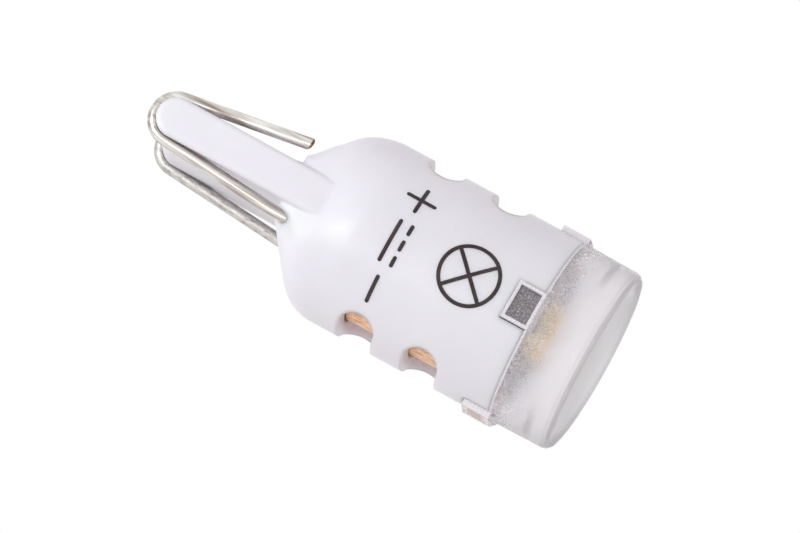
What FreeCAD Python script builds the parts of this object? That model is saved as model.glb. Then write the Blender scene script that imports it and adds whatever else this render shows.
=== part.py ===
import FreeCAD, Part
import math
import os

import Sketcher

# Wedge base LED bulb. It stands on its flat lens end: Z runs from the lens end up to the wedge,
# X through the wedge's thickness and Y along the wedge's width. All sizes are in millimetres.

doc = FreeCAD.newDocument("wedge_bulb")

# Driving dimensions

SIZES = {
    "body_diameter": (10.4, "moulded barrel"),
    "body_wall": (0.85, "barrel wall"),
    "rim_level": (3.5, "open end of the barrel, where the lens seats"),
    "corner_level": (15.5, "where the barrel's line meets the steep slopes of the shoulder"),
    "side_level": (13.8, "where it meets the gentle slopes, below the wedge's edges"),
    "shoulder_blend": (2.8, "blend between the barrel and the shoulder"),
    "shoulder_level": (18.0, "straight step at the foot of the wedge"),
    "shoulder_thickness": (3.8, "step through the wedge's thickness"),
    "shoulder_width": (8.0, "step along the wedge's width"),
    "shoulder_squareness": (6.0, "exponent of the step's outline, where 2 is an ellipse"),
    "squareness_onset": (2.5, "how late that squareness comes in up the shoulder"),
    "blade_thickness": (2.1, "standard wedge thickness"),
    "blade_width": (9.2, "wedge width"),
    "blade_edge": (0.15, "bevel along the wedge's edges"),
    "nose_level": (24.85, "centre of the wedge's round nose"),
    "ledge_level": (13.9, "ledge that the driver board seats against"),
    "ledge_width": (0.95, "ledge inside the barrel"),
    "cavity_height": (2.0, "space above the driver board"),
    "vent_width": (2.0, "vent slot along the barrel"),
    "vent_length": (6.1, "vent slot across the barrel"),
    "vent_level": (7.75, "centre of the lower vent row"),
    "vent_pitch": (3.8, "from the lower vent row to the upper"),
    "notch_width": (2.25, "rim notch"),
    "notch_height": (1.5, "rim notch"),
    "wire_diameter": (0.66, "tinned contact wire"),
    "wire_fit": (0.03, "play of the wire in its groove"),
    "tail_setback": (0.265, "from the bore to the middle of a wire's tail"),
    "wire_lift": (0.15, "wire centre above the wedge's face at the nose"),
    "seat_length": (2.4, "seat of the wire down the wedge's faces from the nose"),
    "wire_bend": (2.4, "bend of the wire where it leaves the shoulder"),
    "entry_spread": (0.68, "fixed leg's centre from the wedge's face at the shoulder"),
    "free_spread": (1.27, "free leg's centre from the wedge's face at its end"),
    "free_drop": (0.1, "end of the free leg past the level of the step"),
    "snip_angle": (38.0, "slant of the cut end of the free leg, in degrees"),
    "tail_reach": (0.2, "wire tail below the driver board"),
    "lens_wall": (0.9, "side wall of the lens"),
    "lens_end_wall": (1.3, "end wall of the lens"),
    "lens_draft": (0.05, "how much narrower the lens is at its end, on the radius"),
    "lens_edge_radius": (0.45, "outer edge of the lens end"),
    "lens_cavity_edge": (0.35, "bevel in the inner corner of the lens"),
    "tab_proud": (0.22, "lens tab outside the barrel"),
    "tab_slope": (0.26, "sloped foot of the tab"),
    "tab_fit": (0.05, "play round a lens tab"),
    "tab_root": (0.4, "tab below the rim"),
    "ear_inset": (0.2, "from the barrel's outside to the ears in the notches"),
    "slug_fit": (0.15, "play of the heat slug in the barrel"),
    "slug_edge": (0.15, "chamfer on the heat slug"),
    "standoff_height": (0.4, "ring that carries the driver board"),
    "standoff_wall": (0.35, "ring that carries the driver board"),
    "standoff_setback": (1.05, "from the bore to the inside of that ring"),
    "pocket_depth": (1.8, "space for the parts below the driver board"),
    "lug_width": (1.9, "ears and lugs in the notches"),
    "lug_root": (0.5, "lug's overlap with the slug"),
    "board_fit": (0.1, "play of the boards in the barrel"),
    "board_setback": (0.05, "face of the light board behind the rim"),
    "board_thickness": (1.4, "metal core light board"),
    "pad_thickness": (0.2, "thermal pad"),
    "pad_setback": (0.6, "edge of the thermal pad inside the slug's"),
    "led_size": (3.2, "square light emitter"),
    "led_height": (0.65, "light emitter"),
    "led_wall": (0.22, "rim round the phosphor"),
    "phosphor_depth": (0.3, "phosphor fill"),
    "phosphor_crown": (0.04, "phosphor above its rim"),
    "joint_height": (0.06, "solder below the emitter"),
    "joint_gap": (0.6, "between the emitter's two solder pads"),
    "driver_thickness": (0.8, "driver board"),
    "lead_diameter": (0.6, "lead between the boards"),
    "lead_fit": (0.1, "play round a lead in the heat slug"),
    "lead_offset": (1.0, "lead from the middle plane"),
    "lead_setback": (1.75, "from the bore to the plane of the leads"),
    "lead_reach": (0.12, "lead end past the driver board"),
    "dome_diameter": (1.1, "solder dome on a lead"),
    "dome_height": (0.22, "solder dome on a lead"),
    "solder_lap": (0.04, "least width of solder round a wire or lead"),
    "fillet_height": (0.35, "solder round a wire tail"),
    "fillet_spread": (0.3, "how far that solder spreads beyond the wire"),
    "rectifier_length": (4.2, "bridge rectifier"),
    "rectifier_width": (3.4, "bridge rectifier"),
    "rectifier_height": (1.3, "bridge rectifier"),
    "rectifier_leg": (0.5, "width of a rectifier leg"),
    "rectifier_pitch": (2.52, "between the two legs of a side"),
    "regulator_length": (2.9, "current regulator"),
    "regulator_width": (1.3, "current regulator"),
    "regulator_height": (1.0, "current regulator"),
    "regulator_leg": (0.4, "width of a regulator leg"),
    "regulator_pitch": (1.9, "between the two legs of a side"),
    "regulator_setback": (0.4, "from the standoff ring to the regulator's legs"),
    "leg_reach": (0.5, "legs beyond their package"),
    "leg_thickness": (0.15, "legs of the packages"),
    "diode_length": (2.8, "protection diode"),
    "diode_width": (1.7, "protection diode"),
    "diode_height": (1.0, "protection diode"),
    "capacitor_length": (2.0, "filter capacitor"),
    "capacitor_width": (1.25, "filter capacitor"),
    "capacitor_height": (1.25, "filter capacitor"),
    "capacitor_shift": (0.35, "capacitor's side past the middle plane"),
    "resistor_length": (1.6, "chip resistor"),
    "resistor_width": (0.8, "chip resistor"),
    "resistor_height": (0.45, "chip resistor"),
    "chip_edge": (0.08, "softened edges of the chips"),
    "chip_gap": (0.15, "least space between chips"),
}

sheet = doc.addObject("Spreadsheet::Sheet", "Sizes")
for row, (alias, (value, note)) in enumerate(SIZES.items(), start=1):
    sheet.set(f"A{row}", note)
    sheet.set(f"B{row}", str(value))
    sheet.setAlias(f"B{row}", alias)
doc.recompute()


def size(alias):
    return float(sheet.get(alias))


def value(expression):
    return float(sheet.evalExpression(expression))


# Places that several pieces share, each worked out from the driving dimensions

BODY_RADIUS = "(Sizes.body_diameter / 2)"
BORE_RADIUS = f"({BODY_RADIUS} - Sizes.body_wall)"
CAVITY_RADIUS = f"({BORE_RADIUS} - Sizes.ledge_width)"
CAVITY_TOP = "(Sizes.ledge_level + Sizes.cavity_height)"
BOARD_FACE = "(Sizes.rim_level + Sizes.board_setback)"
BOARD_BACK = f"({BOARD_FACE} + Sizes.board_thickness)"
SLUG_FACE = f"({BOARD_BACK} + Sizes.pad_thickness)"
DRIVER_FACE = "(Sizes.ledge_level - Sizes.driver_thickness)"
SLUG_TOP = f"({DRIVER_FACE} - Sizes.standoff_height)"
POCKET_FLOOR = f"({DRIVER_FACE} - Sizes.pocket_depth)"
DISC_RADIUS = f"({BORE_RADIUS} - Sizes.board_fit)"
SLUG_RADIUS = f"({BORE_RADIUS} - Sizes.slug_fit)"
STANDOFF_RADIUS = f"({BORE_RADIUS} - Sizes.standoff_setback)"
RING_RADIUS = f"({STANDOFF_RADIUS} + Sizes.standoff_wall)"
EAR_REACH = f"({BODY_RADIUS} - Sizes.ear_inset)"
NOTCH_TOP = "(Sizes.rim_level + Sizes.notch_height)"
HALF_BLADE = "(Sizes.blade_thickness / 2)"
WIRE_RADIUS = "(Sizes.wire_diameter / 2)"
ENTRY_X = f"({HALF_BLADE} + Sizes.entry_spread)"
WIRE_OFFSET = f"sqrt(({BORE_RADIUS} - Sizes.tail_setback) ^ 2 - {ENTRY_X} ^ 2)"
FREE_X = f"({HALF_BLADE} + Sizes.free_spread)"
FREE_Z = "(Sizes.shoulder_level - Sizes.free_drop)"
TAIL_Z = f"({DRIVER_FACE} - Sizes.tail_reach)"
LEAD_Y = f"({BORE_RADIUS} - Sizes.lead_setback)"
EMITTER_BACK = f"({BOARD_FACE} - Sizes.joint_height)"
EMITTER_FACE = f"({EMITTER_BACK} - Sizes.led_height)"

XZ_ROTATION = FreeCAD.Rotation(FreeCAD.Vector(1, 0, 0), 90)

# Lengths below this count as nothing, in mm
TINY = 1e-6

# Points round each outline of the shoulder, and where its sections lie between foot and top
SECTION_POINTS = 16
SECTION_SHARES = (0.09, 0.18, 0.27, 0.36, 0.45, 0.54, 0.63, 0.8, 1.0)

# Largest share of a slope that its blend may take
BLEND_LIMIT = 0.9

# Turns of the lens edge, in degrees, between its end and its side
EDGE_ANGLES = (30, 60)


# Small builders

def place(obj, x="0", y="0", z="0"):
    for axis, expression in zip("xyz", (x, y, z)):
        if expression != "0":
            obj.setExpression(f"Placement.Base.{axis}", expression)
    return obj


def cylinder(name, radius, height, x="0", y="0", z="0"):
    obj = doc.addObject("Part::Cylinder", name)
    obj.setExpression("Radius", radius)
    obj.setExpression("Height", height)
    return place(obj, x, y, z)


def box(name, length, width, height, x="0", y="0", z="0"):
    """A box centred on x and y, standing on z."""
    obj = doc.addObject("Part::Box", name)
    obj.setExpression("Length", length)
    obj.setExpression("Width", width)
    obj.setExpression("Height", height)
    return place(obj, f"{x} - {length} / 2", f"{y} - {width} / 2", z)


def fuse(name, pieces):
    obj = doc.addObject("Part::MultiFuse", name)
    obj.Shapes = pieces
    return obj


def cut(name, base, tools):
    obj = doc.addObject("Part::Cut", name)
    obj.Base = base
    obj.Tool = tools[0] if len(tools) == 1 else fuse(name + "_tools", tools)
    return obj


def common(name, base, tool):
    obj = doc.addObject("Part::Common", name)
    obj.Base = base
    obj.Tool = tool
    return obj


def bevel(name, base, width, chosen):
    """Bevels the edges of base that chosen picks, by a named width."""
    doc.recompute()
    picked = [i for i, edge in enumerate(base.Shape.Edges, start=1) if chosen(edge)]
    obj = doc.addObject("Part::Chamfer", name)
    obj.Base = base
    obj.Edges = [(i, size(width), size(width)) for i in picked]
    return obj


def new_body(name):
    return doc.addObject("PartDesign::Body", name)


def plane(body, role):
    return next(f for f in body.Origin.OriginFeatures if f.Role == role)


def new_sketch(body, name, role, level="0"):
    sketch = body.newObject("Sketcher::SketchObject", name)
    sketch.AttachmentSupport = [(plane(body, role), "")]
    sketch.MapMode = "FlatFace"
    if level != "0":
        sketch.setExpression("AttachmentOffset.Base.z", level)
    return sketch


def drive(sketch, index, expression):
    label = f"size_{index}"
    sketch.renameConstraint(index, label)
    sketch.setExpression(f"Constraints.{label}", expression)


def pin_point(sketch, geometry, end, x, y):
    """Holds one point of a sketch at x and y, each an expression."""
    for kind, axis, expression in (("DistanceX", -2, x), ("DistanceY", -1, y)):
        amount = value(expression)
        if abs(amount) < TINY:
            sketch.addConstraint(Sketcher.Constraint("PointOnObject", geometry, end, axis))
        elif amount > 0:
            index = sketch.addConstraint(Sketcher.Constraint(kind, -1, 1, geometry, end, amount))
            drive(sketch, index, expression)
        else:
            index = sketch.addConstraint(Sketcher.Constraint(kind, geometry, end, -1, 1, -amount))
            drive(sketch, index, f"-({expression})")


def outline(sketch, corners):
    """A closed outline of straight sides through corners, each a pair of expressions."""
    places = [FreeCAD.Vector(value(x), value(y), 0) for x, y in corners]
    first = sketch.GeometryCount
    count = len(places)
    for i in range(count):
        sketch.addGeometry(Part.LineSegment(places[i], places[(i + 1) % count]), False)
    for i in range(count):
        following = first + (i + 1) % count
        sketch.addConstraint(Sketcher.Constraint("Coincident", first + i, 2, following, 1))
    for i, (x, y) in enumerate(corners):
        pin_point(sketch, first + i, 1, x, y)


def circle(sketch, radius, x="0", y="0"):
    centre = FreeCAD.Vector(value(x), value(y), 0)
    index = sketch.addGeometry(Part.Circle(centre, FreeCAD.Vector(0, 0, 1), value(radius)), False)
    pin_point(sketch, index, 3, x, y)
    constraint = sketch.addConstraint(Sketcher.Constraint("Radius", index, value(radius)))
    drive(sketch, constraint, radius)


def revolve(body, name, sketch):
    feature = body.newObject("PartDesign::Revolution", name)
    feature.Profile = sketch
    feature.ReferenceAxis = (sketch, ["V_Axis"])
    feature.Angle = 360
    return feature


def pad(body, name, sketch, length, midplane=False):
    feature = body.newObject("PartDesign::Pad", name)
    feature.Profile = sketch
    feature.setExpression("Length", length)
    feature.Midplane = midplane
    return feature


def pocket(body, name, sketch, length, reverse=False):
    """Cuts a pocket, and stops if it takes nothing away."""
    doc.recompute()
    before = body.Shape.Volume
    feature = body.newObject("PartDesign::Pocket", name)
    feature.Profile = sketch
    feature.setExpression("Length", length)
    feature.Reversed = reverse
    doc.recompute()
    if body.Shape.Volume > before - TINY:
        raise RuntimeError(f"{name} cuts nothing")
    return feature


def around(body, name, feature, count):
    """Repeats a feature evenly round the vertical axis."""
    pattern = body.newObject("PartDesign::PolarPattern", name)
    pattern.Originals = [feature]
    pattern.Axis = (plane(body, "Z_Axis"), [""])
    pattern.Angle = 360
    pattern.Occurrences = count
    body.Tip = pattern
    return pattern


# Contact wire: a hairpin round the nose of the wedge, drawn in the plane of its bend

def hairpin_route(name):
    """The wire's centre line: tail, bend, fixed leg, nose, free leg."""
    route = doc.addObject("Sketcher::SketchObject", name)
    route.Placement = FreeCAD.Placement(FreeCAD.Vector(), XZ_ROTATION)
    point = FreeCAD.Vector
    entry_x = value(ENTRY_X)
    entry_z = size("shoulder_level")
    nose_z = size("nose_level")
    reach = value(HALF_BLADE) + size("wire_lift")
    bend = size("wire_bend")
    lean = math.atan2(entry_x - reach, nose_z - entry_z)
    bend_end = point(-entry_x + bend * (1 - math.cos(lean)), entry_z + bend * math.sin(lean), 0)
    tail = route.addGeometry(Part.LineSegment(
        point(-entry_x, value(TAIL_Z), 0), point(-entry_x, entry_z, 0)), False)
    turn = route.addGeometry(Part.ArcOfCircle(
        Part.Circle(point(-entry_x + bend, entry_z, 0), point(0, 0, 1), bend),
        math.pi - lean, math.pi), False)
    fixed = route.addGeometry(Part.LineSegment(bend_end, point(-reach, nose_z, 0)), False)
    nose = route.addGeometry(Part.ArcOfCircle(
        Part.Circle(point(0, nose_z, 0), point(0, 0, 1), reach), 0, math.pi), False)
    free = route.addGeometry(Part.LineSegment(
        point(reach, nose_z, 0), point(value(FREE_X), value(FREE_Z), 0)), False)
    # An arc's end 1 is its start and end 2 its finish, anticlockwise
    for first, first_end, second, second_end in (
        (tail, 2, turn, 2), (turn, 1, fixed, 1), (fixed, 2, nose, 2), (nose, 1, free, 1),
    ):
        route.addConstraint(
            Sketcher.Constraint("Tangent", first, first_end, second, second_end))
    pin_point(route, tail, 1, f"-{ENTRY_X}", TAIL_Z)
    pin_point(route, tail, 2, f"-{ENTRY_X}", "Sizes.shoulder_level")
    index = route.addConstraint(Sketcher.Constraint("Radius", turn, bend))
    drive(route, index, "Sizes.wire_bend")
    pin_point(route, nose, 3, "0", "Sizes.nose_level")
    index = route.addConstraint(Sketcher.Constraint("Radius", nose, reach))
    drive(route, index, f"{HALF_BLADE} + Sizes.wire_lift")
    pin_point(route, free, 2, FREE_X, FREE_Z)
    return route


def wire_sweep(name):
    """A round bar along the hairpin route."""
    route = hairpin_route(name + "_route")
    section = doc.addObject("Sketcher::SketchObject", name + "_section")
    section.setExpression("Placement.Base.z", TAIL_Z)
    circle(section, WIRE_RADIUS, f"-{ENTRY_X}")
    doc.recompute()
    sweep = doc.addObject("Part::Sweep", name)
    sweep.Sections = [section]
    sweep.Spine = (route, [f"Edge{i + 1}" for i in range(len(route.Shape.Edges))])
    sweep.Solid = True
    sweep.Frenet = False
    return sweep


def contact_wire(name, side):
    """A tinned wire whose free end is snipped on the slant."""
    bar = wire_sweep(name + "_bar")
    block = doc.addObject("Part::Box", name + "_snip")
    for edge in ("Length", "Width", "Height"):
        block.setExpression(edge, "4 * Sizes.wire_diameter")
    turn = FreeCAD.Rotation(FreeCAD.Vector(1, 0, 0), size("snip_angle"))
    half = 2 * size("wire_diameter")
    corner = turn.multVec(FreeCAD.Vector(-half, -half, -2 * half))
    block.Placement = FreeCAD.Placement(corner, turn)
    block.setExpression("Placement.Base.x", f"{FREE_X} + {corner.x}")
    block.setExpression("Placement.Base.z", f"{FREE_Z} + {WIRE_RADIUS} + {corner.z}")
    wire = cut(name, bar, [block])
    return place(wire, y=f"{side} * {WIRE_OFFSET}")


# Moulded body: barrel, lofted shoulder and wedge in one piece

def shoulder_section(name, level, half_x, half_y, power):
    """A closed outline between an ellipse and a rounded rectangle, by the superellipse formula."""
    points = []
    for i in range(SECTION_POINTS):
        turn = 2 * math.pi * i / SECTION_POINTS
        c, s = math.cos(turn), math.sin(turn)
        x = half_x * math.copysign(abs(c) ** (2 / power), c)
        y = half_y * math.copysign(abs(s) ** (2 / power), s)
        points.append(FreeCAD.Vector(x, y, level))
    curve = Part.BSplineCurve()
    curve.interpolate(Points=points, PeriodicFlag=True)
    section = doc.addObject("Part::Feature", name)
    section.Shape = Part.Wire([curve.toShape()])
    return section


def blended_slope(corner, half_step):
    """Half width by level: up the barrel, round a blend and straight to the step.

    Returns that rule, and the level where the blend leaves the barrel.
    """
    radius = size("body_diameter") / 2
    top = size("shoulder_level")
    slope = math.atan2(radius - half_step, top - corner)
    longest = BLEND_LIMIT * (top - corner) / math.cos(slope) / math.tan(slope / 2)
    blend = min(size("shoulder_blend"), longest)
    tangent = blend * math.tan(slope / 2)
    foot = corner - tangent
    slope_start = corner + tangent * math.cos(slope)

    def half_width(level):
        if level <= foot:
            return radius
        if level >= slope_start:
            return half_step + (top - level) * math.tan(slope)
        return radius - blend + math.sqrt(blend ** 2 - (level - foot) ** 2)

    return half_width, foot


def shoulder():
    """The shoulder lofts from the barrel's circle to the squared step at the wedge."""
    radius = size("body_diameter") / 2
    top = size("shoulder_level")
    half_x, steep_foot = blended_slope(size("corner_level"), size("shoulder_thickness") / 2)
    half_y, gentle_foot = blended_slope(size("side_level"), size("shoulder_width") / 2)
    foot = min(steep_foot, gentle_foot)
    sections = [doc.addObject("Part::Feature", "shoulder_foot")]
    sections[0].Shape = Part.Wire([Part.makeCircle(radius, FreeCAD.Vector(0, 0, foot))])
    for i, share in enumerate(SECTION_SHARES, start=1):
        level = foot + share * (top - foot)
        power = 2 + (size("shoulder_squareness") - 2) * share ** size("squareness_onset")
        sections.append(shoulder_section(
            f"shoulder_section_{i}", level, half_x(level), half_y(level), power))
    loft = doc.addObject("Part::Loft", "shoulder")
    loft.Sections = sections
    loft.Solid = True
    loft.Ruled = True
    return loft, foot


def blade():
    """The wedge, with a full-round nose across its thickness and bevelled edges."""
    flat = box("blade_flat", "Sizes.blade_thickness", "Sizes.blade_width",
               "Sizes.nose_level - Sizes.side_level", z="Sizes.side_level")
    nose = doc.addObject("Part::Cylinder", "blade_nose")
    nose.setExpression("Radius", HALF_BLADE)
    nose.setExpression("Height", "Sizes.blade_width")
    nose.Placement = FreeCAD.Placement(FreeCAD.Vector(), XZ_ROTATION)
    place(nose, y="Sizes.blade_width / 2", z="Sizes.nose_level")
    solid = fuse("blade_block", [flat, nose])
    solid.Refine = True
    half_width = size("blade_width") / 2

    def on_end(edge):
        ends = [abs(abs(v.Y) - half_width) < TINY for v in edge.Vertexes]
        above_root = edge.BoundBox.ZMax > size("side_level") + TINY
        return all(ends) and edge.BoundBox.YLength < TINY and above_root

    return bevel("blade", solid, "blade_edge", on_end)


def vent(name, level):
    """One oblong slot right through the barrel, across the wedge's broad faces."""
    straight = "(Sizes.vent_length - Sizes.vent_width)"
    slot = box(name + "_straight", "Sizes.body_diameter * 2", straight, "Sizes.vent_width",
               z=f"{level} - Sizes.vent_width / 2")
    ends = []
    for side, word in ((-1, "near"), (1, "far")):
        end = doc.addObject("Part::Cylinder", f"{name}_{word}_end")
        end.setExpression("Radius", "Sizes.vent_width / 2")
        end.setExpression("Height", "Sizes.body_diameter * 2")
        end.Placement = FreeCAD.Placement(
            FreeCAD.Vector(), FreeCAD.Rotation(FreeCAD.Vector(0, 1, 0), 90))
        ends.append(place(end, "-Sizes.body_diameter", f"{side} * {straight} / 2", level))
    return fuse(name, [slot] + ends)


def notches():
    """Four rim notches, as two bars across the barrel."""
    bars = []
    for name, along_x in (("notch_bar_x", True), ("notch_bar_y", False)):
        across, along = "Sizes.notch_width", "Sizes.body_diameter * 2"
        length, width = (along, across) if along_x else (across, along)
        bars.append(box(name, length, width, "2 * Sizes.notch_height",
                        z="Sizes.rim_level - Sizes.notch_height"))
    return bars


def wire_seat(word, side):
    """A channel over the nose of the wedge that holds one wire."""
    width = "(Sizes.wire_diameter + 2 * Sizes.wire_fit)"
    floor = f"({HALF_BLADE} + Sizes.wire_lift - {WIRE_RADIUS} - Sizes.wire_fit)"
    middle = f"{side} * {WIRE_OFFSET}"
    low = "Sizes.nose_level - Sizes.seat_length"
    block = box(f"seat_block_{word}", "2 * Sizes.blade_thickness", width,
                "Sizes.seat_length + Sizes.blade_thickness", y=middle, z=low)
    flat = box(f"seat_flat_{word}", f"2 * {floor}", f"2 * {width}", "Sizes.seat_length",
               y=middle, z=low)
    nose = doc.addObject("Part::Cylinder", f"seat_nose_{word}")
    nose.setExpression("Radius", floor)
    nose.setExpression("Height", f"2 * {width}")
    nose.Placement = FreeCAD.Placement(FreeCAD.Vector(), XZ_ROTATION)
    place(nose, y=f"{middle} + {width}", z="Sizes.nose_level")
    return cut(f"seat_{word}", block, [flat, nose])


def tail_hole(word, side):
    """The round hole that a wire's tail passes through, from the step to the driver board."""
    return cylinder(f"tail_hole_{word}", f"({WIRE_RADIUS} + Sizes.wire_fit)",
                    f"Sizes.shoulder_level + Sizes.wire_diameter - {TAIL_Z}",
                    f"-{ENTRY_X}", f"{side} * {WIRE_OFFSET}", TAIL_Z)


def body_housing():
    shoulder_solid, foot = shoulder()
    barrel = cylinder("barrel", BODY_RADIUS, f"{foot} - Sizes.rim_level", z="Sizes.rim_level")
    solid = fuse("housing_block", [barrel, shoulder_solid, blade()])
    bore = cylinder("bore", BORE_RADIUS, "Sizes.ledge_level - Sizes.rim_level + Sizes.body_wall",
                    z="Sizes.rim_level - Sizes.body_wall")
    cavity = cylinder("cavity", CAVITY_RADIUS, f"{CAVITY_TOP} - Sizes.rim_level",
                      z="Sizes.rim_level")
    vents = [vent("vent_lower", "Sizes.vent_level"),
             vent("vent_upper", "(Sizes.vent_level + Sizes.vent_pitch)")]
    wires = []
    for side, word in ((-1, "near"), (1, "far")):
        wires += [wire_seat(word, side), tail_hole(word, side)]
    return cut("body_housing", solid, [bore, cavity] + vents + notches() + wires)


# Lens: a clear cap with four tabs that fill the rim notches

def lens():
    body = new_body("lens")
    outer = BODY_RADIUS
    end = f"({BODY_RADIUS} - Sizes.lens_draft)"
    inner = f"({BODY_RADIUS} - Sizes.lens_wall)"
    corner = "Sizes.lens_cavity_edge"
    turned = [(f"({end} - Sizes.lens_edge_radius * (1 - sin({angle} deg)))",
               f"(Sizes.lens_edge_radius * (1 - cos({angle} deg)))") for angle in EDGE_ANGLES]
    section = new_sketch(body, "lens_section", "XZ_Plane")
    outline(section, [
        ("0", "0"), (f"({end} - Sizes.lens_edge_radius)", "0"), *turned,
        (end, "Sizes.lens_edge_radius"), (outer, "Sizes.rim_level"), (inner, "Sizes.rim_level"),
        (inner, f"(Sizes.lens_end_wall + {corner})"),
        (f"({inner} - {corner})", "Sizes.lens_end_wall"), ("0", "Sizes.lens_end_wall"),
    ])
    revolve(body, "lens_cap", section)
    tab = new_sketch(body, "tab_section", "YZ_Plane")
    inside = f"({EAR_REACH} + Sizes.tab_fit)"
    outside = f"({BODY_RADIUS} + Sizes.tab_proud)"
    root = "(Sizes.rim_level - Sizes.tab_root)"
    shoulder_z = f"({root} + Sizes.tab_slope)"
    top = f"({NOTCH_TOP} - Sizes.tab_fit)"
    outline(tab, [
        (inside, root), (end, root), (outside, shoulder_z), (outside, top), (inside, top),
    ])
    one = pad(body, "tab", tab, "Sizes.notch_width - 2 * Sizes.tab_fit", midplane=True)
    around(body, "tabs", one, 4)
    return body


# Heat path: copper slug, thermal pad and light board

def heat_slug():
    body = new_body("heat_slug")
    section = new_sketch(body, "slug_section", "XZ_Plane")
    edge = "Sizes.slug_edge"
    outline(section, [
        ("0", SLUG_FACE), (f"({SLUG_RADIUS} - {edge})", SLUG_FACE),
        (SLUG_RADIUS, f"({SLUG_FACE} + {edge})"), (SLUG_RADIUS, f"({SLUG_TOP} - {edge})"),
        (f"({SLUG_RADIUS} - {edge})", SLUG_TOP), (RING_RADIUS, SLUG_TOP), (RING_RADIUS, DRIVER_FACE),
        (STANDOFF_RADIUS, DRIVER_FACE), (STANDOFF_RADIUS, POCKET_FLOOR),
        ("0", POCKET_FLOOR),
    ])
    revolve(body, "slug_core", section)
    lug = new_sketch(body, "lug_section", "XZ_Plane")
    foot = f"({SLUG_RADIUS} - Sizes.lug_root)"
    lug_top = f"({NOTCH_TOP} - Sizes.tab_fit)"
    neck_top = f"({SLUG_FACE} + Sizes.slug_edge)"
    outline(lug, [
        (foot, BOARD_FACE), (EAR_REACH, BOARD_FACE), (EAR_REACH, lug_top),
        (SLUG_RADIUS, lug_top), (SLUG_RADIUS, neck_top), (foot, neck_top),
    ])
    one = pad(body, "lug", lug, "Sizes.lug_width", midplane=True)
    around(body, "lugs", one, 2)
    holes = new_sketch(body, "lead_holes", "XY_Plane", BOARD_FACE)
    for side in (-1, 1):
        circle(holes, "(Sizes.lead_diameter / 2 + Sizes.lead_fit)",
               f"{side} * Sizes.lead_offset", LEAD_Y)
    pocket(body, "lead_bores", holes, f"{DRIVER_FACE} - {BOARD_FACE}", reverse=True)
    return body


def disc(name, radius, thickness, level):
    """A round board with holes for the two leads."""
    body = new_body(name)
    face = new_sketch(body, name + "_face", "XY_Plane", level)
    circle(face, radius)
    for side in (-1, 1):
        circle(face, "Sizes.lead_diameter / 2",
               f"{side} * Sizes.lead_offset", LEAD_Y)
    pad(body, name + "_plate", face, thickness)
    return body


def led_board():
    """The light board, with two ears in the notches and two flats for the slug's lugs."""
    body = disc("led_board", DISC_RADIUS, "Sizes.board_thickness", BOARD_FACE)
    ear = new_sketch(body, "ear_section", "YZ_Plane")
    foot = f"({DISC_RADIUS} - Sizes.lug_root)"
    outline(ear, [(foot, BOARD_FACE), (EAR_REACH, BOARD_FACE), (EAR_REACH, BOARD_BACK),
                  (foot, BOARD_BACK)])
    one = pad(body, "ear", ear, "Sizes.lug_width", midplane=True)
    around(body, "ears", one, 2)
    flat = new_sketch(body, "lug_gap", "XY_Plane", BOARD_FACE)
    inside = f"({SLUG_RADIUS} - Sizes.lug_root - Sizes.tab_fit)"
    half = "(Sizes.lug_width / 2 + Sizes.tab_fit)"
    for side in (-1, 1):
        outline(flat, [(f"{side} * {inside}", f"-{half}"), (f"{side} * {BODY_RADIUS}", f"-{half}"),
                       (f"{side} * {BODY_RADIUS}", half), (f"{side} * {inside}", half)])
    pocket(body, "lug_gaps", flat, "Sizes.board_thickness", reverse=True)
    return body


def thermal_pad():
    return disc("thermal_pad", f"({SLUG_RADIUS} - Sizes.pad_setback)", "Sizes.pad_thickness",
                BOARD_BACK)


# Light emitter

def led_package():
    """A square case with a well for the phosphor and one cut corner."""
    half = size("led_size") / 2
    well = "(Sizes.led_size - 2 * Sizes.led_wall)"
    block = box("led_block", "Sizes.led_size", "Sizes.led_size", "Sizes.led_height",
                z=EMITTER_FACE)
    recess = box("led_recess", well, well, "2 * Sizes.phosphor_depth",
                 z=f"{EMITTER_FACE} - Sizes.phosphor_depth")

    def marked(edge):
        return abs(edge.BoundBox.XMin - half) < TINY and abs(edge.BoundBox.YMin - half) < TINY

    return cut("led_package", bevel("led_corner", block, "led_wall", marked), [recess])


def led_phosphor():
    well = "(Sizes.led_size - 2 * Sizes.led_wall)"
    fill = box("phosphor_fill", well, well, "Sizes.phosphor_depth + Sizes.phosphor_crown",
               z=f"{EMITTER_FACE} - Sizes.phosphor_crown")

    def lower(edge):
        return edge.BoundBox.ZMax < value(EMITTER_FACE) - TINY

    return bevel("led_phosphor", fill, "phosphor_crown", lower)


def led_solder():
    """Two pads of solder that hold the emitter on its board."""
    width = "((Sizes.led_size - Sizes.joint_gap) / 2 - Sizes.led_wall)"
    pads = [box(f"led_joint_{word}", width, "Sizes.led_size - 2 * Sizes.led_wall",
                "Sizes.joint_height",
                x=f"{side} * (Sizes.joint_gap + {width}) / 2", z=EMITTER_BACK)
            for side, word in ((-1, "left"), (1, "right"))]
    joint = doc.addObject("Part::Compound", "led_solder")
    joint.Links = pads
    return joint


# Driver board and its parts

def driver_board():
    """The driver board, with half-round notches at its rim for the wire tails."""
    body = disc("driver_board", DISC_RADIUS, "Sizes.driver_thickness", DRIVER_FACE)
    tails = new_sketch(body, "tail_notches", "XY_Plane", DRIVER_FACE)
    for side in (-1, 1):
        circle(tails, f"({WIRE_RADIUS} + Sizes.wire_fit)", f"-{ENTRY_X}", f"{side} * {WIRE_OFFSET}")
    pocket(body, "tail_cuts", tails, "Sizes.driver_thickness", reverse=True)
    return body


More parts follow.
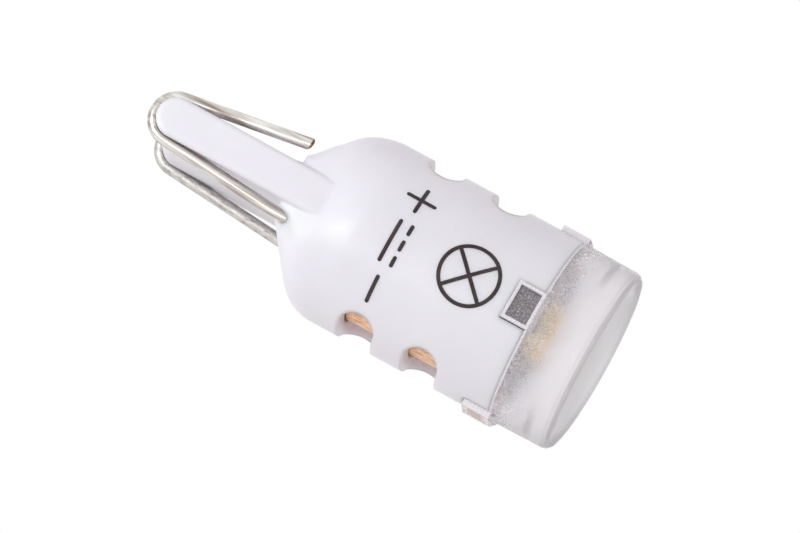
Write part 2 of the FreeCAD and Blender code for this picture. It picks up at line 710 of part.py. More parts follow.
def legged_package(name, prefix, x, y, level, hangs, near_legs, far_legs):
    """A moulded package with flat legs on two sides, standing on a board or hanging below it."""
    length, width, height = (f"Sizes.{prefix}_{word}" for word in ("length", "width", "height"))
    leg = f"Sizes.{prefix}_leg"
    bottom = f"({level} - {height})" if hangs else level
    leg_z = f"({level} - Sizes.leg_thickness)" if hangs else level
    pieces = [box(name + "_case", length, width, height, x, y, bottom)]
    for side, row in ((-1, near_legs), (1, far_legs)):
        for i, offset in enumerate(row):
            pieces.append(box(
                f"{name}_leg_{'near' if side < 0 else 'far'}_{i}", leg,
                "2 * Sizes.leg_reach", "Sizes.leg_thickness",
                f"({x} + {offset})", f"({y} + {side} * {width} / 2)", leg_z))
    return fuse(name, pieces)


def chip(name, prefix, x, y):
    """A small block soldered below the driver board, its length along Y."""
    length, width, height = (f"Sizes.{prefix}_{word}" for word in ("length", "width", "height"))
    block = box(name + "_block", width, length, height, x, y, f"{DRIVER_FACE} - {height}")
    face = value(DRIVER_FACE)

    def below(edge):
        return edge.BoundBox.ZMin < face - TINY

    return bevel(name, block, "chip_edge", below)


def driver_parts():
    regulator_y = (f"(Sizes.regulator_setback + Sizes.leg_reach + Sizes.regulator_width / 2"
                   f" - {STANDOFF_RADIUS})")
    chip_y = f"({regulator_y} + Sizes.regulator_width / 2 + Sizes.chip_gap)"
    capacitor_x = "(Sizes.capacitor_width / 2 - Sizes.capacitor_shift)"
    diode_x = f"({capacitor_x} - (Sizes.capacitor_width + Sizes.diode_width) / 2 - Sizes.chip_gap)"
    sense_x = (f"({capacitor_x} + (Sizes.capacitor_width + Sizes.resistor_width) / 2"
               " + Sizes.chip_gap)")
    bleed_x = f"({sense_x} + Sizes.resistor_width + Sizes.chip_gap)"
    inner_leg = f"({chip_y} + Sizes.leg_reach)"
    rectifier_legs = ("-Sizes.rectifier_pitch / 2", "Sizes.rectifier_pitch / 2")
    regulator_legs = ("-Sizes.regulator_pitch / 2", "Sizes.regulator_pitch / 2")
    return [
        legged_package("bridge_rectifier", "rectifier", "0", "0", "Sizes.ledge_level", False,
                       rectifier_legs, rectifier_legs),
        legged_package("current_regulator", "regulator", "0", regulator_y, DRIVER_FACE, True,
                       regulator_legs, ("0",)),
        chip("protection_diode", "diode", diode_x, f"({chip_y} + Sizes.diode_length / 2)"),
        chip("filter_capacitor", "capacitor", capacitor_x,
             f"({inner_leg} + Sizes.capacitor_length / 2)"),
        chip("sense_resistor", "resistor", sense_x, f"({chip_y} + Sizes.resistor_length / 2)"),
        chip("bleed_resistor", "resistor", bleed_x, f"({chip_y} + Sizes.resistor_length / 2)"),
    ]


# Leads between the boards, and the solder on leads and wire tails

def leads():
    """Two leads from board to board, each with a solder dome on the light board."""
    made = []
    high = "(Sizes.ledge_level + Sizes.lead_reach)"
    for side, word in ((-1, "negative"), (1, "positive")):
        x = f"{side} * Sizes.lead_offset"
        made.append(cylinder(f"lead_{word}", "Sizes.lead_diameter / 2", f"{high} - {BOARD_FACE}",
                             x, LEAD_Y, BOARD_FACE))
        dome = doc.addObject("Part::Cone", f"lead_solder_{word}")
        dome.setExpression("Radius1", "Sizes.lead_diameter / 2 + Sizes.solder_lap")
        dome.setExpression("Radius2", "Sizes.dome_diameter / 2")
        dome.setExpression("Height", "Sizes.dome_height")
        made.append(place(dome, x, LEAD_Y, f"{BOARD_FACE} - Sizes.dome_height"))
    return made


def wire_solder(name, side):
    """A fillet of solder round a wire tail, on the underside of the driver board."""
    y = f"{side} * {WIRE_OFFSET}"
    cone = doc.addObject("Part::Cone", name + "_cone")
    cone.setExpression("Radius1", f"{WIRE_RADIUS} + Sizes.solder_lap")
    cone.setExpression("Radius2", f"{WIRE_RADIUS} + Sizes.fillet_spread")
    cone.setExpression("Height", "Sizes.fillet_height")
    place(cone, f"-{ENTRY_X}", y, f"{DRIVER_FACE} - Sizes.fillet_height")
    room = cylinder(name + "_room", DISC_RADIUS, "Sizes.fillet_height",
                    z=f"{DRIVER_FACE} - Sizes.fillet_height")
    core = cylinder(name + "_core", WIRE_RADIUS, "Sizes.fillet_height",
                    f"-{ENTRY_X}", y, f"{DRIVER_FACE} - Sizes.fillet_height")
    ring = cylinder(name + "_ring", f"{RING_RADIUS} + Sizes.board_fit / 2", "Sizes.fillet_height",
                    z=f"{DRIVER_FACE} - Sizes.fillet_height")
    return cut(name, common(name + "_inside", cone, room), [core, ring])


def build():
    nodes = [
        body_housing(), lens(),
        contact_wire("contact_wire_near", -1), contact_wire("contact_wire_far", 1),
        heat_slug(), thermal_pad(), led_board(),
        led_package(), led_phosphor(), led_solder(),
        driver_board(), *driver_parts(), *leads(),
        wire_solder("wire_solder_near", -1), wire_solder("wire_solder_far", 1),
    ]
    for node in nodes:
        node.Label = node.Name
    doc.recompute()
    return nodes


def check(nodes):
    """Stops before anything is written if an object failed or a shape isn't sound."""
    for obj in doc.Objects:
        if "Invalid" in obj.State or "Error" in obj.State:
            raise RuntimeError(f"{obj.Name}: {obj.State}")
    for node in nodes:
        if node.Shape.isNull() or not node.Shape.isValid() or not node.Shape.Solids:
            raise RuntimeError(f"{node.Label} has no sound solid")


def write(nodes):
    os.makedirs("parts", exist_ok=True)
    for node in nodes:
        node.Shape.exportStep(os.path.join("parts", node.Label + ".step"))
        print(f"{node.Label}: {len(node.Shape.Solids)} solid, {node.Shape.Volume:.3f} mm3")


pieces = build()
check(pieces)
write(pieces)
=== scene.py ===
import math

import bpy
from mathutils import Matrix, Vector


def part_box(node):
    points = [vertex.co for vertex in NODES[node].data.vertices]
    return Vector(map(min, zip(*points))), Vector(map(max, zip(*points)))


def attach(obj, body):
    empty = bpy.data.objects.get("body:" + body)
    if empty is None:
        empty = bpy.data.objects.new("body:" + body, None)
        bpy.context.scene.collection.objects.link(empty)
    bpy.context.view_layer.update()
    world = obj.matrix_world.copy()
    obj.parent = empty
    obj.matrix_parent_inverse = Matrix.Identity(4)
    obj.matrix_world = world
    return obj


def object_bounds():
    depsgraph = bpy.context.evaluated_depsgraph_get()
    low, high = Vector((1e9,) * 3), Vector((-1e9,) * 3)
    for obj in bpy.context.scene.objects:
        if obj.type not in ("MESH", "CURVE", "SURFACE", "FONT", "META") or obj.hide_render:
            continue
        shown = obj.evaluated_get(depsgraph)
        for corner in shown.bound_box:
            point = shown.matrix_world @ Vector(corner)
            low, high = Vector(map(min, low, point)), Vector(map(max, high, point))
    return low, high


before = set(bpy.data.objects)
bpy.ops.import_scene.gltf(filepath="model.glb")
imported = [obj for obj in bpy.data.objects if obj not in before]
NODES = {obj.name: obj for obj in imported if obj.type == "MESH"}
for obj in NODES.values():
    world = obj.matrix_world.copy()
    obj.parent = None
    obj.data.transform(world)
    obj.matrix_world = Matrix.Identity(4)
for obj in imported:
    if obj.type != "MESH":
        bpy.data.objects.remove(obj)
cad_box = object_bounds()
MM = 0.001

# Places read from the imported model, in metres

housing_low, housing_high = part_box("body_housing")
lens_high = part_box("lens")[1]
RIM = housing_low.z
BODY_RADIUS = housing_high.x
LENS_REACH = lens_high.x
LENS_TOP = lens_high.z
TOP = cad_box[1].z

# Lens: its hollow, its tabs with a painted highlight round their edges and a painted copper
# reflection on the ±X tabs, the painted highlight line under the rim, and where the white specks
# begin.
# A point within SLACK of a face counts as on it.

LENS_WALL = 0.9 * MM
WALL_SLACK = 0.1 * MM
HOLLOW_END = 1.0 * MM
TAB_HALF_WIDTH = 1.075 * MM
# Width of the painted highlight round the tab edges: a frosted band that stands in for the edges
# catching light.
TAB_EDGE_HIGHLIGHT = 0.17 * MM
TAB_WINDOW = 0.40 * MM
# Height of the painted highlight line under the rim: a milky band that stands in for the rim's edge
# catching light.
RIM_HIGHLIGHT_HEIGHT = 0.12 * MM
SPECKS_FROM = 1.0 * MM
SLACK = 0.05 * MM
EDGE_ROUND = 0.05 * MM
SHARP_ANGLE = math.radians(40)
CLEAR_PLASTIC = (0.98, 0.96, 0.985, 1)
# Colour painted on the middles of the ±X tabs: a painted reflection of the lit copper slug behind
# them.
COPPER_REFLECTION_COLOUR = (0.46, 0.18, 0.10, 1)

# Wires: lowest point of the free legs, how far up the bare copper shows, and the side they are on

WIRE_TIP = 17.97 * MM
BARE_LENGTH = 0.16 * MM
FREE_SIDE = 1.5 * MM


# Node tree helpers

class Tree:
    """The node tree of a material or a world, with short calls for the nodes used here."""

    def __init__(self, owner, output_kind):
        owner.use_nodes = True
        self.tree = owner.node_tree
        self.tree.nodes.clear()
        self.output = self.node(output_kind)

    def node(self, kind, **settings):
        made = self.tree.nodes.new(kind)
        for key, setting in settings.items():
            setattr(made, key, setting)
        return made

    def link(self, source, target):
        self.tree.links.new(source, target)

    def feed(self, term, socket):
        """The output of a node is linked; a number or colour goes on the socket itself."""
        if isinstance(term, bpy.types.NodeSocket):
            self.link(term, socket)
        else:
            socket.default_value = term

    def math(self, operation, first, second=0.0):
        made = self.node("ShaderNodeMath", operation=operation)
        self.feed(first, made.inputs[0])
        self.feed(second, made.inputs[1])
        return made.outputs[0]

    def mix_shader(self, factor, first, second):
        made = self.node("ShaderNodeMixShader")
        for term, socket in zip((factor, first, second), made.inputs):
            self.link(term, socket)
        self.link(made.outputs["Shader"], self.output.inputs["Surface"])


class Shader(Tree):
    """A new material's node tree."""

    def __init__(self, name):
        self.material = bpy.data.materials.new(name)
        super().__init__(self.material, "ShaderNodeOutputMaterial")

    def principled(self, **inputs):
        made = self.node("ShaderNodeBsdfPrincipled")
        for key, term in inputs.items():
            self.feed(term, made.inputs[key.replace("_", " ")])
        self.link(made.outputs["BSDF"], self.output.inputs["Surface"])
        return made

    def coordinates(self):
        return self.node("ShaderNodeTexCoord").outputs["Object"]

    def axis(self, letter):
        """One of the object's own coordinates, in metres."""
        split = self.node("ShaderNodeSeparateXYZ")
        self.link(self.coordinates(), split.inputs["Vector"])
        return split.outputs[letter]

    def radius(self):
        """Distance from the object's own Z axis, in metres."""
        flat = self.node("ShaderNodeVectorMath", operation="MULTIPLY")
        flat.inputs[1].default_value = (1, 1, 0)
        self.link(self.coordinates(), flat.inputs[0])
        length = self.node("ShaderNodeVectorMath", operation="LENGTH")
        self.link(flat.outputs["Vector"], length.inputs[0])
        return length.outputs["Value"]

    def noise(self, scale, detail=2.0, roughness=0.5, stretch=None):
        """Noise in the object's own space; stretch scales the three axes first."""
        made = self.node("ShaderNodeTexNoise")
        made.inputs["Scale"].default_value = scale
        made.inputs["Detail"].default_value = detail
        made.inputs["Roughness"].default_value = roughness
        source = self.coordinates()
        if stretch:
            mapping = self.node("ShaderNodeMapping")
            mapping.inputs["Scale"].default_value = stretch
            self.link(source, mapping.inputs["Vector"])
            source = mapping.outputs["Vector"]
        self.link(source, made.inputs["Vector"])
        return made.outputs["Fac"]

    def ramp(self, source, stops):
        made = self.node("ShaderNodeValToRGB")
        elements = made.color_ramp.elements
        while len(elements) < len(stops):
            elements.new(0.5)
        for element, (place, colour) in zip(elements, stops):
            element.position = place
            element.color = (*colour, 1)
        self.link(source, made.inputs["Fac"])
        return made.outputs["Color"]

    def range(self, source, low, high, from_low=0.0, from_high=1.0):
        made = self.node("ShaderNodeMapRange")
        made.inputs["From Min"].default_value = from_low
        made.inputs["From Max"].default_value = from_high
        made.inputs["To Min"].default_value = low
        made.inputs["To Max"].default_value = high
        self.link(source, made.inputs["Value"])
        return made.outputs["Result"]

    def blend(self, factor, first, second):
        """First colour where the factor is 0, second where it is 1."""
        made = self.node("ShaderNodeMix", data_type="RGBA")
        self.feed(factor, made.inputs["Factor"])
        self.feed(first, made.inputs["A"])
        self.feed(second, made.inputs["B"])
        return made.outputs["Result"]

    def bump(self, source, bsdf, strength, distance, normal=None):
        made = self.node("ShaderNodeBump")
        made.inputs["Strength"].default_value = strength
        made.inputs["Distance"].default_value = distance
        self.link(source, made.inputs["Height"])
        if normal:
            self.link(normal, made.inputs["Normal"])
        self.link(made.outputs["Normal"], bsdf.inputs["Normal"])


# Materials

def moulding():
    """White resin with a soft sheen and a faint mottle."""
    s = Shader("white_moulding")
    tone = s.ramp(s.noise(220, 3), [(0.3, (0.85, 0.853, 0.89)), (0.7, (0.885, 0.888, 0.925))])
    sheen = s.range(s.noise(900, 2), 0.28, 0.42)
    bsdf = s.principled(IOR=1.5, Base_Color=tone, Roughness=sheen, Subsurface_Weight=0.5,
                        Subsurface_Radius=(1.0, 0.75, 0.9), Subsurface_Scale=0.9 * MM)
    edges = s.node("ShaderNodeBevel", samples=8)
    edges.inputs["Radius"].default_value = 0.3 * MM
    s.bump(s.noise(2600, 2), bsdf, 0.12, 0.02 * MM, edges.outputs["Normal"])
    return s.material


def skin_mask(s, level):
    """1 on the outside of the lens up to the rim, 0 in its hollow and on its tabs."""
    below_rim = s.math("LESS_THAN", level, RIM + SLACK)
    within = s.math("LESS_THAN", s.radius(), BODY_RADIUS - LENS_WALL + WALL_SLACK)
    past_end = s.math("GREATER_THAN", level, HOLLOW_END)
    outside = s.math("SUBTRACT", 1.0, s.math("MULTIPLY", within, past_end))
    return s.math("MULTIPLY", below_rim, outside)


def tab_masks(s, level):
    """1 on the edges of the lens's tabs, a band painted as highlight, and 1 on the middle of the
    outer faces at +X and -X, where copper is painted as a reflection.
    """
    from_x = s.math("ABSOLUTE", s.axis("X"))
    from_y = s.math("ABSOLUTE", s.axis("Y"))
    at_y = s.math("GREATER_THAN", from_y, from_x)
    at_x = s.math("SUBTRACT", 1.0, at_y)
    sides = s.math("GREATER_THAN", from_x, TAB_HALF_WIDTH - TAB_EDGE_HIGHLIGHT)
    top = s.math("GREATER_THAN", level, LENS_TOP - TAB_EDGE_HIGHLIGHT)
    face_edge_highlight = s.math("MULTIPLY", s.math("MAXIMUM", sides, top), at_y)
    cheek_highlight = s.math("MULTIPLY", at_x, s.math("GREATER_THAN", from_y, TAB_HALF_WIDTH - SLACK))
    on_tab = s.math("GREATER_THAN", level, RIM + SLACK)
    tab_edge_highlight = s.math("MULTIPLY", s.math("MAXIMUM", face_edge_highlight, cheek_highlight), on_tab)
    from_middle = s.math("ABSOLUTE", s.math("SUBTRACT", level, (RIM + LENS_TOP) / 2))
    middle = s.math("MULTIPLY", s.math("LESS_THAN", from_middle, TAB_WINDOW),
                    s.math("LESS_THAN", from_y, TAB_HALF_WIDTH - 2 * TAB_EDGE_HIGHLIGHT))
    # Painted reflection: the middle of the ±X tabs, where the lit copper slug shows through.
    painted_copper_reflection = s.math("MULTIPLY", middle, s.math("GREATER_THAN", from_x, LENS_REACH - SLACK))
    return tab_edge_highlight, painted_copper_reflection


def lens_plastic():
    """Moulded lens: frosted outside, clear inside and at each tab's middle, except the ±X middles,
    which carry copper as a painted reflection of the slug behind them; milky bands round the tab
    edges and just under the rim are painted highlight.
    """
    s = Shader("frosted_lens")
    level = s.axis("Z")
    tab_edge_highlight, painted_copper_reflection = tab_masks(s, level)
    frost_and_tab_highlight = s.math("MAXIMUM", skin_mask(s, level), tab_edge_highlight)
    near_rim = s.range(level, 0.0, 1.0, SPECKS_FROM, RIM)
    specks = s.range(s.noise(10500, 3, 0.75), 0.0, 0.5, 0.48, 0.60)
    scatter = s.math("ADD", s.math("MULTIPLY", specks, near_rim), s.range(near_rim, 0.26, 0.17))
    # Painted highlight: a milky band just under the rim, where the rim's edge catches light.
    painted_rim_highlight = s.math("MULTIPLY", s.math("GREATER_THAN", level, RIM - RIM_HIGHLIGHT_HEIGHT), 0.8)
    milky_skin_and_rim_highlight = s.math("MULTIPLY", frost_and_tab_highlight, s.math("MAXIMUM", scatter, painted_rim_highlight))
    # Painted light on the tabs: milky highlight round their edges and the copper reflection on the
    # ±X middles.
    milky_painted_tab_light = s.math("MULTIPLY", s.math("MAXIMUM", tab_edge_highlight, painted_copper_reflection), 0.75)
    frost_and_painted_light = s.math("MAXIMUM", milky_skin_and_rim_highlight, milky_painted_tab_light)
    haze = s.math("ADD", s.range(s.noise(5000, 2, 0.6), 0.17, 0.29),
                  s.range(level, 0.08, 0.0, 0.6 * MM, 2.4 * MM))
    bsdf = s.principled(IOR=1.49, Base_Color=s.blend(painted_copper_reflection, CLEAR_PLASTIC, COPPER_REFLECTION_COLOUR),
                        Transmission_Weight=s.math("SUBTRACT", 1.0, frost_and_painted_light),
                        Roughness=s.math("ADD", s.math("MULTIPLY", frost_and_tab_highlight, haze), 0.05))
    grain = s.math("MULTIPLY", s.noise(10500, 2, 0.7), near_rim)
    s.bump(s.math("MULTIPLY", frost_and_tab_highlight, grain), bsdf, 0.45, 0.035 * MM)
    return s.material


def tinned():
    """Drawn tinned wire: grey metal streaked along its length, bare where it is snipped."""
    s = Shader("tinned_wire")
    streaks = s.noise(3200, 4, 0.6, (1.0, 1.0, 0.04))
    tone = s.ramp(streaks, [(0.34, (0.30, 0.25, 0.22)), (0.48, (0.56, 0.52, 0.48)),
                            (0.62, (0.80, 0.78, 0.75))])
    at_tip = s.math("LESS_THAN", s.axis("Z"), WIRE_TIP + BARE_LENGTH)
    snipped = s.math("MULTIPLY", at_tip, s.math("GREATER_THAN", s.axis("X"), FREE_SIDE))
    bare = s.ramp(s.noise(5000, 3, 0.6), [(0.35, (0.09, 0.045, 0.03)),
                                          (0.65, (0.24, 0.12, 0.08))])
    bsdf = s.principled(Metallic=1.0, Base_Color=s.blend(snipped, tone, bare),
                        Roughness=s.range(streaks, 0.32, 0.22))
    s.bump(streaks, bsdf, 0.1, 0.01 * MM)
    return s.material


def mottled(name, grain, stops, rough, relief, metallic=0.0):
    """One noise gives the tone, the roughness and the relief.

    grain is what Shader.noise takes, rough its two ends, relief the bump's strength and depth.
    """
    s = Shader(name)
    source = s.noise(*grain)
    bsdf = s.principled(Metallic=metallic, Base_Color=s.ramp(source, stops),
                        Roughness=s.range(source, *rough))
    s.bump(source, bsdf, *relief)
    return s.material


def pitted_and_shaded():
    """Tinned wire for the far side, rougher and pitted; its tones are darker than the near wire's
    as painted shade.
    """
    # Painted shade: these tones sit below the near wire's, for the same wire in shadow.
    stops = [(0.34, (0.28, 0.26, 0.25)), (0.44, (0.49, 0.46, 0.435)), (0.66, (0.64, 0.615, 0.59))]
    return mottled("pitted_wire_painted_shade", (6500, 3, 0.7, (1.0, 1.0, 0.3)), stops, (0.60, 0.38),
                   (0.15, 0.02 * MM), 1.0)


def copper():
    stops = [(0.34, (0.50, 0.26, 0.15)), (0.5, (0.74, 0.45, 0.29)), (0.66, (0.90, 0.64, 0.46))]
    return mottled("bare_copper", (4200, 4, 0.65, (1.0, 1.0, 0.5)), stops, (0.6, 0.38),
                   (0.4, 0.02 * MM), 1.0)


def board_metal():
    """Speckled grey board face."""
    stops = [(0.34, (0.06, 0.05, 0.055)), (0.52, (0.25, 0.23, 0.24)), (0.68, (0.66, 0.65, 0.68))]
    return mottled("metal_core_board", (9000, 3, 0.75), stops, (0.55, 0.3), (0.4, 0.02 * MM), 0.7)


def plain(name, low, high, rough, metallic=0.0):
    """A part of one colour with a fine mottle between two tones."""
    return mottled(name, (900, 3, 0.6), [(0.35, low), (0.65, high)],
                   (rough * 1.15, rough * 0.85), (0.15, 0.01 * MM), metallic)


def phosphor():
    s = Shader("phosphor")
    tone = s.ramp(s.noise(2600, 3, 0.7), [(0.35, (0.85, 0.42, 0.02)), (0.6, (1.0, 0.62, 0.06)),
                                          (0.75, (1.0, 0.80, 0.30))])
    s.principled(Base_Color=tone, Roughness=0.55)
    return s.material


def dress(material, *nodes):
    for node in nodes:
        mesh = NODES[node].data
        mesh.materials.clear()
        mesh.materials.append(material)


def dress_nodes():
    dress(moulding(), "body_housing")
    dress(lens_plastic(), "lens")
    dress(tinned(), "contact_wire_near")
    dress(pitted_and_shaded(), "contact_wire_far")
    dress(copper(), "heat_slug")
    dress(board_metal(), "led_board")
    dress(phosphor(), "led_phosphor")
    dress(plain("thermal_pad", (0.40, 0.42, 0.46), (0.52, 0.54, 0.57), 0.8), "thermal_pad")
    dress(plain("emitter_case", (0.86, 0.66, 0.30), (0.93, 0.76, 0.42), 0.4), "led_package")
    dress(plain("solder", (0.60, 0.60, 0.59), (0.80, 0.80, 0.79), 0.25, 1.0), "led_solder",
          "lead_solder_negative", "lead_solder_positive", "wire_solder_near", "wire_solder_far")
    dress(plain("driver_laminate", (0.02, 0.13, 0.06), (0.04, 0.20, 0.09), 0.35), "driver_board")
    dress(plain("black_package", (0.02, 0.02, 0.022), (0.045, 0.045, 0.05), 0.55),
          "bridge_rectifier", "current_regulator", "protection_diode")
    dress(plain("capacitor_body", (0.38, 0.24, 0.12), (0.52, 0.36, 0.20), 0.5),
          "filter_capacitor")
    dress(plain("resistor_body", (0.02, 0.02, 0.025), (0.05, 0.05, 0.055), 0.35),
          "sense_resistor", "bleed_resistor")
    dress(plain("red_insulation", (0.42, 0.02, 0.02), (0.55, 0.04, 0.03), 0.4), "lead_positive")
    dress(plain("black_insulation", (0.01, 0.01, 0.01), (0.03, 0.03, 0.03), 0.4), "lead_negative")


def soften(node, width):
    """A small round on a node's sharp edges."""
    bevel = NODES[node].modifiers.new("soft_edges", "BEVEL")
    bevel.width = width
    bevel.segments = 2
    bevel.limit_method = "ANGLE"
    bevel.angle_limit = SHARP_ANGLE
    bevel.use_clamp_overlap = True


# Printed symbols: generic polarity, direct current and lamp marks on the barrel.
# They are laid out flat, as points (around, along): around 0 faces -Y, along is the level.
# CAP_TIP is the share of a stroke's width that is left at the very end of it.

PRINT_RADIUS = BODY_RADIUS + 0.006 * MM
PRINT_THICKNESS = 0.012 * MM
STROKE = 0.21 * MM
CAP_STEPS = 5
CAP_TIP = 0.02

ROW_LEVEL = 11.55 * MM
ROW_SHIFT = -0.35 * MM
ROW_PITCH = 2.75 * MM
SIGN_HALF = 0.76 * MM
CURRENT_HALF = 1.15 * MM
CURRENT_GAP = 0.34 * MM
DASH_HALF = 0.22 * MM
DASH_PITCH = 0.93 * MM
LAMP_MARK = (0.0, 7.4 * MM)
LAMP_MARK_RADIUS = 1.6 * MM


def wrap(around, along, lift):
    """A flat point laid on the barrel, lifted off it by the given height."""
    angle = around / PRINT_RADIUS
    radius = PRINT_RADIUS + lift
    return Vector((radius * math.sin(angle), -radius * math.cos(angle), along))


def across(point, side):
    """The two edge points of a stroke at one of its points."""
    u, v = point
    return (u + side.x, v + side.y), (u - side.x, v - side.y)


def round_end(centre, direction, facing):
    """Edge points round an end of a stroke, tip first; facing is -1 at its start, 1 at its end."""
    half = STROKE / 2
    side = Vector((-direction.y, direction.x)) * half
    pairs = []
    for k in range(CAP_STEPS):
        turn = math.pi / 2 * k / CAP_STEPS
        shift = facing * math.cos(turn) * half
        point = (centre[0] + direction.x * shift, centre[1] + direction.y * shift)
        pairs.append(across(point, side * max(math.sin(turn), CAP_TIP)))
    return pairs


def stroke_edges(points, closed):
    """Pairs of edge points along a stroke, with a few more at each round end."""
    count = len(points)
    pairs, directions = [], []
    for i, point in enumerate(points):
        before = points[i - 1] if closed or i else points[0]
        after = points[(i + 1) % count] if closed or i < count - 1 else points[-1]
        direction = Vector((after[0] - before[0], after[1] - before[1])).normalized()
        pairs.append(across(point, Vector((-direction.y, direction.x)) * (STROKE / 2)))
        directions.append(direction)
    if closed:
        return pairs
    start = round_end(points[0], directions[0], -1)
    end = round_end(points[-1], directions[-1], 1)
    return start + pairs + end[::-1]


def add_ribbon(pairs, closed, vertices, faces):
    """Closed ribbon of ink: upper and lower skins and both edges."""
    start = len(vertices)
    for a, b in pairs:
        for point, lift in ((a, PRINT_THICKNESS), (b, PRINT_THICKNESS), (b, 0.0), (a, 0.0)):
            vertices.append(wrap(*point, lift))
    count = len(pairs)
    spans = count if closed else count - 1
    for i in range(spans):
        here, there = start + 4 * i, start + 4 * ((i + 1) % count)
        for k in range(4):
            following = (k + 1) % 4
            faces.append((here + k, there + k, there + following, here + following))
    if not closed:
        last = start + 4 * (count - 1)
        faces.append((start, start + 1, start + 2, start + 3))
        faces.append((last + 3, last + 2, last + 1, last))


def print_strokes(name, strokes, material):
    """Strokes are runs of flat points; each becomes a ribbon of ink with round ends."""
    mesh = bpy.data.meshes.new(name)
    vertices, faces = [], []
    for run in strokes:
        closed = run[0] == run[-1]
        points = run[:-1] if closed else run
        add_ribbon(stroke_edges(points, closed), closed, vertices, faces)
    mesh.from_pydata(vertices, [], faces)
    mesh.update()
    obj = bpy.data.objects.new(name, mesh)
    bpy.context.scene.collection.objects.link(obj)
    mesh.materials.append(material)
    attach(obj, "root")


def bar(centre, around, along, steps=8):
    """Straight stroke that reaches (around, along) to both sides of its centre."""
    start = (centre[0] - around, centre[1] - along)
    end = (centre[0] + around, centre[1] + along)
    return [(start[0] + (end[0] - start[0]) * k / steps, start[1] + (end[1] - start[1]) * k / steps)
            for k in range(steps + 1)]


def ring(centre, radius, steps=48):
    points = [(centre[0] + radius * math.cos(2 * math.pi * k / steps),
               centre[1] + radius * math.sin(2 * math.pi * k / steps)) for k in range(steps)]
    return points + [points[0]]


def printed_marks():
    ink = plain("print_ink", (0.022, 0.012, 0.013), (0.045, 0.028, 0.028), 0.7)
    plus = (ROW_SHIFT + ROW_PITCH, ROW_LEVEL)
    minus = (ROW_SHIFT - ROW_PITCH, ROW_LEVEL)
    marks = [bar(plus, SIGN_HALF, 0.0), bar(plus, 0.0, SIGN_HALF),
             bar((ROW_SHIFT, ROW_LEVEL + CURRENT_GAP), CURRENT_HALF, 0.0)]
    for place in (-DASH_PITCH, 0.0, DASH_PITCH):
        marks.append(bar((ROW_SHIFT + place, ROW_LEVEL - CURRENT_GAP), DASH_HALF, 0.0, 4))
    marks.append(bar(minus, SIGN_HALF, 0.0))
    marks.append(ring(LAMP_MARK, LAMP_MARK_RADIUS))
    reach = LAMP_MARK_RADIUS * math.cos(math.pi / 4)
    for slope in (-1, 1):
        marks.append(bar(LAMP_MARK, reach, slope * reach, 16))
    print_strokes("printed_marks", marks, ink)


# Camera, at the photograph's angle

CAMERA_DISTANCE = 1000 * MM
IMAGE_WIDTH = 41.45 * MM
SENSOR = 36.0
CLIP_START, CLIP_END = 0.01, 10
VIEW_TURN = math.radians(9.3)
VIEW_TILT = math.radians(-7.5)
AXIS_ANGLE = math.radians(151.2)
AIM_LEVEL = 11.45 * MM
AIM_SHIFT = 0.47 * MM


def camera():
    back = Vector((-math.sin(VIEW_TURN) * math.cos(VIEW_TILT),
                   -math.cos(VIEW_TURN) * math.cos(VIEW_TILT), math.sin(VIEW_TILT)))
    upright = (Vector((0, 0, 1)) - back * back.z).normalized()
    sideways = upright.cross(back)
    right = math.cos(AXIS_ANGLE) * upright + math.sin(AXIS_ANGLE) * sideways
    up = math.sin(AXIS_ANGLE) * upright - math.cos(AXIS_ANGLE) * sideways
    aim = Vector((0, 0, AIM_LEVEL)) - sideways * AIM_SHIFT
    data = bpy.data.cameras.new("camera")
    data.sensor_width = SENSOR
    data.lens = SENSOR * CAMERA_DISTANCE / IMAGE_WIDTH
    data.clip_start = CLIP_START
    data.clip_end = CLIP_END
    obj = bpy.data.objects.new("camera", data)
    turn = Matrix((right, up, back)).transposed().to_4x4()
    obj.matrix_world = Matrix.Translation(aim + back * CAMERA_DISTANCE) @ turn
    bpy.context.scene.collection.objects.link(obj)
    bpy.context.scene.camera = obj


# Studio: pale floor, white surroundings and soft lamps, sizes in metres and power in watts

FLOOR_COLOUR = (0.86, 0.86, 0.865, 1)
FLOOR_REACH = 0.6
FLOOR_LEVEL = -0.01 * MM
FILL_COLOUR = (1.0, 0.92, 0.975, 1)
FILL_STRENGTH = 0.62
WHITE = (1, 1, 1)

# Name, direction from the object, distance, width, power and colour
LAMPS = [
    ("key", (-0.22, -0.76, 0.67), 0.11, 0.044, 0.0455, (0.92, 0.99, 0.98)),
    ("fill", (-0.80, 0.15, 0.55), 0.35, 0.30, 0.055, (1.0, 0.96, 1.0)),
    ("streak", (-0.35, -0.90, 0.14), 0.30, 0.08, 0.05, WHITE),
    ("side", (0.80, -0.45, -0.15), 0.35, 0.30, 0.06, WHITE),
]


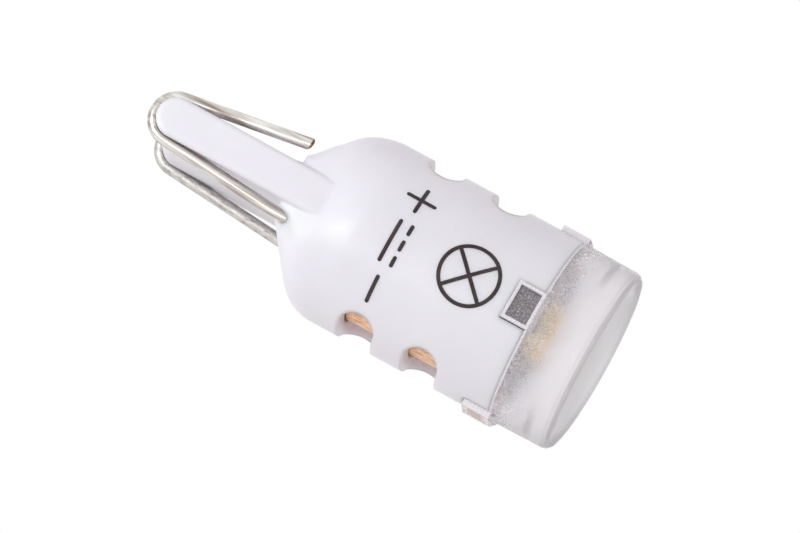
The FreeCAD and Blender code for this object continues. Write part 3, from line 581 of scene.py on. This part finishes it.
def floor():
    """A pale floor that shows only from above, so that the view from below stays open."""
    s = Shader("pale_floor")
    white = s.node("ShaderNodeBsdfDiffuse")
    white.inputs["Color"].default_value = FLOOR_COLOUR
    clear = s.node("ShaderNodeBsdfTransparent")
    facing = s.node("ShaderNodeNewGeometry")
    s.mix_shader(facing.outputs["Backfacing"], white.outputs["BSDF"], clear.outputs["BSDF"])
    mesh = bpy.data.meshes.new("floor")
    corners = [(u * FLOOR_REACH, v * FLOOR_REACH, FLOOR_LEVEL)
               for u, v in ((-1, -1), (1, -1), (1, 1), (-1, 1))]
    mesh.from_pydata(corners, [], [(0, 1, 2, 3)])
    mesh.materials.append(s.material)
    obj = bpy.data.objects.new("floor", mesh)
    bpy.context.scene.collection.objects.link(obj)
    obj.visible_diffuse = False
    obj.visible_glossy = False
    obj.visible_transmission = False
    obj.visible_shadow = False


def surroundings():
    """White to the camera, to reflections and through the lens; plain fill light otherwise."""
    world = bpy.data.worlds.new("studio")
    bpy.context.scene.world = world
    t = Tree(world, "ShaderNodeOutputWorld")
    fill = t.node("ShaderNodeBackground")
    fill.inputs["Color"].default_value = FILL_COLOUR
    fill.inputs["Strength"].default_value = FILL_STRENGTH
    white = t.node("ShaderNodeBackground")
    white.inputs["Color"].default_value = (*WHITE, 1)
    white.inputs["Strength"].default_value = 1.0
    path = t.node("ShaderNodeLightPath")
    seen = path.outputs["Is Camera Ray"]
    for kind in ("Is Glossy Ray", "Is Transmission Ray"):
        seen = t.math("MAXIMUM", seen, path.outputs[kind])
    t.mix_shader(seen, fill.outputs["Background"], white.outputs["Background"])


def lamp(name, direction, distance, width, power, colour):
    """A soft square lamp aimed at the middle of the object."""
    data = bpy.data.lights.new(name, "AREA")
    data.size = width
    data.energy = power
    data.color = colour
    obj = bpy.data.objects.new(name, data)
    away = Vector(direction).normalized()
    obj.location = Vector((0, 0, TOP / 2)) + away * distance
    obj.rotation_mode = "QUATERNION"
    obj.rotation_quaternion = (-away).to_track_quat("-Z", "Y")
    obj.visible_camera = False
    bpy.context.scene.collection.objects.link(obj)


dress_nodes()
soften("lens", EDGE_ROUND)
printed_marks()
camera()
floor()
surroundings()
for settings in LAMPS:
    lamp(*settings)

bpy.context.scene.view_settings.view_transform = "Standard"
